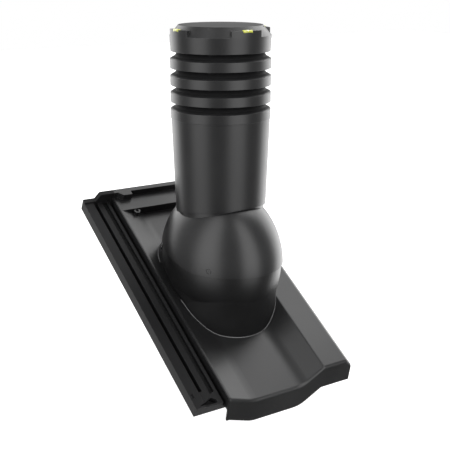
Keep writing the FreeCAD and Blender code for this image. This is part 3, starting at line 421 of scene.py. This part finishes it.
finishes = {
    "tile": satin_plastic("tile_plastic", BLACK, SOFT_BLACK, EDGE_HIGHLIGHT_GREY, 0.33, 0.41, 0.5, 0.9 * MM, LEFT_RIBS),
    "hood": satin_plastic("hood_plastic", BLACK, SOFT_BLACK, EDGE_HIGHLIGHT_GREY, 0.30, 0.36, 0.4, 0.4 * MM),
    # Painted shade: the collar has darker blacks than the hood, for the shade on the lower part of the dome.
    "collar": satin_plastic("collar_plastic", SHADED_BLACK, BLACK, EDGE_HIGHLIGHT_GREY, 0.30, 0.36, 0.4, 0.4 * MM,
                            COLLAR_FOOT),
    # This finish is a painted highlight: the pale grey of the foot bead stands for the light line at the
    # collar's foot.
    "seal": satin_plastic("bead_highlight_plastic", PAINTED_HIGHLIGHT_GREY, PAINTED_HIGHLIGHT_GREY, PAINTED_HIGHLIGHT_GREY, 0.20, 0.26, 0.2, 0.2 * MM, shine=0.7),
    "tube": satin_plastic("tube_plastic", BLACK, SOFT_BLACK, EDGE_HIGHLIGHT_GREY, 0.32, 0.38, 0.4, 0.9 * MM),
    "rings": satin_plastic("ring_plastic", BLACK, SOFT_BLACK, EDGE_HIGHLIGHT_GREY, 0.30, 0.37, 0.4, 0.9 * MM,
                           RING_RECESS),
    "cap": satin_plastic("cap_plastic", BLACK, SOFT_BLACK, EDGE_HIGHLIGHT_GREY, 0.31, 0.38, 0.4, 0.9 * MM),
    "pipe": satin_plastic("pipe_plastic", SOFT_BLACK, DARK_GREY, EDGE_HIGHLIGHT_GREY, 0.45, 0.55, 0.7, 0.6 * MM),
    "pins": satin_plastic("pin_plastic", SOFT_BLACK, DARK_GREY, EDGE_HIGHLIGHT_GREY, 0.35, 0.45, 0.4, 0.4 * MM),
}
slot_of = {part["node"]: part["material_slot"] for part in frame["record"]["subparts"]}
for name, node in nodes.items():
    finish = "collar" if name == "dome_collar" else slot_of[name]
    if finish in finishes:
        node.data.materials.clear()
        node.data.materials.append(finishes[finish])
print("finishes:", sorted(finishes))

# %% [markdown]
# ## Spirit levels
# Each level is a small closed tube of yellow-green liquid with a bubble at its middle. The tube is a
# cylinder with its ends drawn in. The tube isn't clear here, so the bubble is a pale bead that stands a hair
# out of its top, where it can be seen.

# %% Level finishes
LEVEL_COAT = 0.6


def level_finish(name, deep, pale, scale, smooth, rough):
    """A glossy finish of two tones under a clear coat."""
    finish = bpy.data.materials.new(name)
    finish.use_nodes = True
    tree = finish.node_tree
    shader = tree.nodes["Principled BSDF"]
    shader.inputs["Coat Weight"].default_value = LEVEL_COAT
    flow = add_group(tree, melt_flow, Scale=scale, Smooth=smooth, Rough=rough)
    tone = tree.nodes.new("ShaderNodeMix")
    tone.data_type = "RGBA"
    tone.inputs["A"].default_value = (*deep, 1.0)
    tone.inputs["B"].default_value = (*pale, 1.0)
    tree.links.new(flow.outputs["Tone"], tone.inputs["Factor"])
    tree.links.new(tone.outputs["Result"], shader.inputs["Base Color"])
    tree.links.new(flow.outputs["Roughness"], shader.inputs["Roughness"])
    return finish


liquid = level_finish("level_liquid", (0.42, 0.44, 0.05), (0.62, 0.63, 0.10), 180.0, 0.08, 0.16)
bubble = level_finish("level_bubble", (0.84, 0.86, 0.70), (0.92, 0.93, 0.86), 300.0, 0.05, 0.12)

# %% Levels
BUBBLE_SHARE = 0.40
BUBBLE_LIFT = 0.12 * MM
LEVEL_TURNS = {"front": 0.0, "back": 180.0, "left": 270.0, "right": 90.0}
END_INSET = 0.25
END_ROUNDING = 0.22
SMOOTH_BELOW = math.radians(40.0)
UP = Vector((0.0, 0.0, 1.0))


def level_measures(side):
    """The middle, length and radius of a level's solid."""
    low, high = [Vector(corner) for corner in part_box("level_vial_" + side)]
    return (low + high) / 2, max(high - low), min(high - low) / 2


def place_level(side):
    """A level tube with drawn-in ends, put where its solid is."""
    middle, length, radius = level_measures(side)
    turn = (0.0, math.radians(90.0), math.radians(LEVEL_TURNS[side]))
    bpy.ops.object.select_all(action="DESELECT")
    bpy.ops.mesh.primitive_cylinder_add(vertices=24, radius=radius, depth=length, end_fill_type="NGON",
                                        rotation=turn, location=middle)
    level = bpy.context.object
    level.name = "spirit_level_" + side
    bpy.ops.object.transform_apply(location=True, rotation=True, scale=True)
    bpy.ops.object.mode_set(mode="EDIT")
    bpy.ops.mesh.select_all(action="DESELECT")
    bpy.ops.object.mode_set(mode="OBJECT")
    for face in level.data.polygons:
        face.select = len(face.vertices) > 4
    bpy.ops.object.mode_set(mode="EDIT")
    bpy.ops.mesh.inset(thickness=END_INSET * radius)
    bpy.ops.object.mode_set(mode="OBJECT")
    rounding = level.modifiers.new("drawn_in_ends", "BEVEL")
    rounding.width = END_ROUNDING * radius
    rounding.segments = 3
    rounding.limit_method = "ANGLE"
    bpy.ops.object.modifier_apply(modifier=rounding.name)
    bpy.ops.object.shade_smooth_by_angle(angle=SMOOTH_BELOW)
    level.data.materials.append(liquid)
    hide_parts("level_vial_" + side)
    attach(level, "stack")
    return level


def cut_flat(place, facing, ring=False):
    """Cuts off what lies behind a plane from the active piece, closes the cut and smooths the rest."""
    bpy.ops.object.mode_set(mode="EDIT")
    bpy.ops.mesh.select_all(action="SELECT")
    bpy.ops.mesh.bisect(plane_co=place, plane_no=facing, use_fill=not ring, clear_inner=True)
    if ring:
        bpy.ops.mesh.bridge_edge_loops()
    bpy.ops.object.mode_set(mode="OBJECT")
    bpy.ops.object.shade_smooth_by_angle(angle=SMOOTH_BELOW)


def place_bubble(side):
    """A long bead with a flat underside, at the middle of a level and a hair out of its top."""
    middle, length, radius = level_measures(side)
    bpy.ops.object.select_all(action="DESELECT")
    bpy.ops.mesh.primitive_uv_sphere_add(segments=20, ring_count=12, radius=1.0,
                                         rotation=(0.0, 0.0, math.radians(LEVEL_TURNS[side])),
                                         location=middle + BUBBLE_LIFT * UP)
    bead = bpy.context.object
    bead.name = "level_bubble_" + side
    bead.scale = (BUBBLE_SHARE * length / 2, radius, radius)
    bpy.ops.object.transform_apply(location=True, rotation=True, scale=True)
    cut_flat(middle, UP)
    bead.data.materials.append(bubble)
    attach(bead, "stack")
    return bead


levels = [place_level(side) for side in LEVEL_TURNS]
bubbles = [place_bubble(side) for side in LEVEL_TURNS]
print("levels:", [piece.name for piece in levels + bubbles])

# %% [markdown]
# ## Gate mark
# The hood has a small ring with a dot in it, such as is left where the melt entered the mould. Both lie on
# the hood's curve, so they are turned to the direction in which the surface faces there, and cut flat
# underneath, just below the surface.

# %% Gate mark
GATE_PLACE = Vector((-73.7 * MM, -82.8 * MM, 72.9 * MM))
GATE_RADIUS = 4.0 * MM
GATE_RIM = 0.55 * MM
GATE_SINK = 0.2 * MM
DOT_RADIUS = 0.9 * MM
DOT_HEIGHT = 0.45
HOOD_CENTRE = Vector((0.0, 0.0, 61.5 * MM))
HOOD_REACH = Vector((98.5 * MM, 126.0 * MM, 126.0 * MM))


def hood_share(place):
    """How far out a place lies, as a share of the hood's round form: one is on the hood."""
    steps = zip(place - HOOD_CENTRE, HOOD_REACH)
    return math.sqrt(sum((step / reach) ** 2 for step, reach in steps))


from_centre = GATE_PLACE - HOOD_CENTRE
gate_place = HOOD_CENTRE + from_centre / hood_share(GATE_PLACE)
gate_faces = Vector([step / reach ** 2 for step, reach in zip(from_centre, HOOD_REACH)]).normalized()
gate_turn = gate_faces.to_track_quat("Z", "Y").to_euler()
bpy.ops.object.select_all(action="DESELECT")
bpy.ops.mesh.primitive_torus_add(location=gate_place, rotation=gate_turn, major_radius=GATE_RADIUS,
                                 minor_radius=GATE_RIM, major_segments=40, minor_segments=10)
gate = bpy.context.object
gate.name = "gate_mark"
gate_foot = gate_place - GATE_SINK * gate_faces
bpy.ops.object.transform_apply(location=True, rotation=True, scale=True)
cut_flat(gate_foot, gate_faces, ring=True)
bpy.ops.object.select_all(action="DESELECT")
bpy.ops.mesh.primitive_uv_sphere_add(segments=16, ring_count=8, radius=DOT_RADIUS, location=gate_place,
                                     rotation=gate_turn)
bpy.context.object.scale = (1.0, 1.0, DOT_HEIGHT)
bpy.ops.object.transform_apply(location=True, rotation=True, scale=True)
cut_flat(gate_foot, gate_faces)
gate.select_set(True)
bpy.context.view_layer.objects.active = gate
bpy.ops.object.join()
gate.data.materials.append(finishes["hood"])
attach(gate, "stack")
print("gate mark at", [round(step / MM, 1) for step in gate_place])

# %% [markdown]
# ## Bead round the collar's foot
# A fine pale line follows the foot of the collar where it meets the tile. Here it is a bead of plastic,
# painted pale grey as a painted highlight of that line. It has to follow the pan, its left bend and the roll,
# so it is made from the tile's own edge: a copy of the tile is merged, only the upper edge of its hole is
# kept, and that line gets a round section. Where the hood turns close past the tile, at the sides and the
# back, there is no room for a bead.

# %% Foot bead
BEAD_RADIUS = 1.0 * MM
HOOD_ROOM = 1.018
MERGE_WITHIN = 0.02 * MM
COLLAR_MARGIN = 2.0 * MM
FACES_UP = 0.55
FACES_ASIDE = 0.45
SHARP_FROM = 0.6
TILE_PITCH = math.radians(28.8)
TILE_FACES = Vector((0.0, -math.sin(TILE_PITCH), math.cos(TILE_PITCH)))
bpy.ops.object.select_all(action="DESELECT")
bead_mesh = nodes["base_tile"].data.copy()
bead = bpy.data.objects.new("foot_bead", bead_mesh)
bpy.context.collection.objects.link(bead)
bead.select_set(True)
bpy.context.view_layer.objects.active = bead
bpy.ops.object.mode_set(mode="EDIT")
bpy.ops.mesh.select_all(action="SELECT")
bpy.ops.mesh.remove_doubles(threshold=MERGE_WITHIN)
bpy.ops.mesh.select_all(action="DESELECT")
bpy.ops.mesh.select_mode(type="EDGE")
collar_low, collar_high = [Vector(corner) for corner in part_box("dome_collar")]
shape = bmesh.from_edit_mesh(bead_mesh)
for edge in shape.edges:
    if len(edge.link_faces) != 2:
        continue
    inside = all(low - COLLAR_MARGIN < step < high + COLLAR_MARGIN for corner in edge.verts
                 for low, step, high in zip(collar_low, corner.co, collar_high))
    upward = sorted(face.normal.dot(TILE_FACES) for face in edge.link_faces)
    clear = all(hood_share(corner.co) > HOOD_ROOM for corner in edge.verts)
    rim = upward[1] > FACES_UP and upward[0] < FACES_ASIDE
    edge.select_set(inside and clear and rim and edge.calc_face_angle() > SHARP_FROM)
bmesh.update_edit_mesh(bead_mesh)
print("edges of the hole:", sum(edge.select for edge in shape.edges))
bpy.ops.mesh.select_all(action="INVERT")
bpy.ops.mesh.delete(type="EDGE")
bpy.ops.object.mode_set(mode="OBJECT")
bpy.ops.object.convert(target="CURVE")
bead.data.bevel_depth = BEAD_RADIUS
bead.data.bevel_resolution = 2
bead.data.use_fill_caps = True
bpy.ops.object.convert(target="MESH")
bpy.ops.object.shade_smooth()
bead.data.materials.clear()
# Pale grey here is a painted highlight for the line at the collar's foot.
bead.data.materials.append(finishes["seal"])
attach(bead, "tile")
print("bead:", len(bead.data.polygons), "faces")

# %% [markdown]
# ## Sealing pad
# Beside the hood, on the left, the solids leave a gap through which the camera sees the floor. A small pad
# behind the gap hides that from the camera; from other sides the gap stays open. The pad lies outside the
# round form that the hood turns in, so the hood passes it freely.

# %% Sealing pad
PAD_PLACE = (-56.0 * MM, 115.0 * MM, 54.4 * MM)
PAD_REACH = (4.5 * MM, 4.5 * MM, 8.0 * MM)
PAD_FOOT = 49.0 * MM
bpy.ops.object.select_all(action="DESELECT")
bpy.ops.mesh.primitive_uv_sphere_add(segments=24, ring_count=12, radius=1.0, location=PAD_PLACE)
pad = bpy.context.object
pad.name = "sealing_pad"
pad.scale = PAD_REACH
bpy.ops.object.transform_apply(location=True, rotation=True, scale=True)
cut_flat(PAD_FOOT * UP, UP)
pad.data.materials.append(finishes["pipe"])
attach(pad, "tile")
print("pad:", len(pad.data.polygons), "faces")
